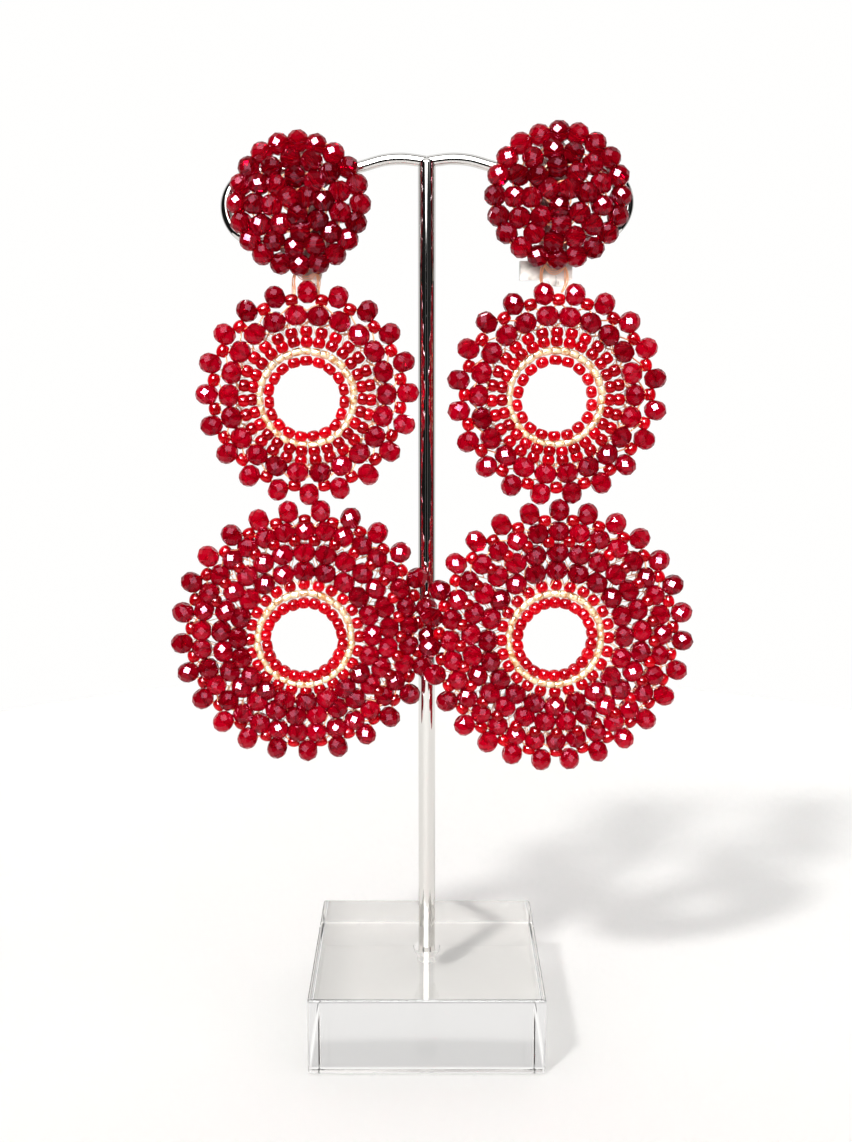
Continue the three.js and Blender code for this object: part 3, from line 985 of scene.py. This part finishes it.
def added(tree, first, second):
    add = tree.nodes.new("ShaderNodeMath")
    add.operation = "ADD"
    tree.links.new(first, add.inputs[0])
    tree.links.new(second, add.inputs[1])
    return add.outputs["Value"]


def upright_band(tree, direction, degrees, half_width, strength):
    """A thin upright band of light, which passes in front of the stand, over it and behind it."""
    angle = math.radians(degrees)
    across = tree.nodes.new("ShaderNodeVectorMath")
    across.operation = "DOT_PRODUCT"
    across.inputs[1].default_value = (math.cos(angle), math.sin(angle), 0)
    tree.links.new(direction, across.inputs[0])
    size = tree.nodes.new("ShaderNodeMath")
    size.operation = "ABSOLUTE"
    tree.links.new(across.outputs["Value"], size.inputs[0])
    span = tree.nodes.new("ShaderNodeMapRange")
    span.inputs["From Min"].default_value = math.sin(math.radians(half_width))
    span.inputs["From Max"].default_value = math.sin(math.radians(half_width * 0.5))
    span.inputs["To Max"].default_value = strength
    tree.links.new(size.outputs["Value"], span.inputs["Value"])
    return span.outputs["Result"]


def make_world():
    """An even white room. Polished things reflect a dark one with lamps in it, and what is seen
    through glass is a white one that dims upwards."""
    world = bpy.data.worlds.new("studio")
    bpy.context.scene.world = world
    world.use_nodes = True
    tree = world.node_tree
    tree.nodes.clear()
    output = tree.nodes.new("ShaderNodeOutputWorld")
    path = tree.nodes.new("ShaderNodeLightPath")
    direction = tree.nodes.new("ShaderNodeTexCoord").outputs["Generated"]

    height = tree.nodes.new("ShaderNodeSeparateXYZ")
    tree.links.new(direction, height.inputs["Vector"])
    ramp = tree.nodes.new("ShaderNodeValToRGB")
    stops = ramp.color_ramp.elements
    while len(stops) < len(ROOM_ABOVE):
        stops.new(0.5)
    for stop, (sine, level) in zip(stops, ROOM_ABOVE):
        stop.position = sine
        stop.color = (*(level * channel for channel in ROOM_TINT), 1)
    tree.links.new(height.outputs["Z"], ramp.inputs["Fac"])
    through = tree.nodes.new("ShaderNodeBackground")
    tree.links.new(ramp.outputs["Color"], through.inputs["Color"])

    even = tree.nodes.new("ShaderNodeBackground")
    even.inputs["Color"].default_value = (*ROOM_TINT, 1)
    even.inputs["Strength"].default_value = AMBIENT

    room = tree.nodes.new("ShaderNodeBackground")
    dark = tree.nodes.new("ShaderNodeValue")
    dark.outputs["Value"].default_value = ROOM_DARK
    total = dark.outputs["Value"]
    for axis, outer, inner, strength in ROOM_LAMPS:
        total = added(tree, total, round_lamp(tree, direction, axis, outer, inner, strength))
    for degrees, half_width, strength in ROOM_BANDS:
        total = added(tree, total, upright_band(tree, direction, degrees, half_width, strength))
    tree.links.new(total, room.inputs["Strength"])

    polished = tree.nodes.new("ShaderNodeMixShader")
    tree.links.new(path.outputs["Is Glossy Ray"], polished.inputs["Fac"])
    tree.links.new(even.outputs["Background"], polished.inputs[1])
    tree.links.new(room.outputs["Background"], polished.inputs[2])
    clear = tree.nodes.new("ShaderNodeMixShader")
    tree.links.new(path.outputs["Is Transmission Ray"], clear.inputs["Fac"])
    tree.links.new(polished.outputs["Shader"], clear.inputs[1])
    tree.links.new(through.outputs["Background"], clear.inputs[2])
    tree.links.new(clear.outputs["Shader"], output.inputs["Surface"])


bpy.context.scene.view_settings.view_transform = "Standard"
make_camera()
make_floor()
make_lights()
make_world()
make_block()
make_stand()
for side in SIDES:
    paint_clip(side)
    make_button(side)
    make_sieve(side)
    make_mid(side)
    make_low(side)
    make_drop_threads(side)
    make_hang(side)
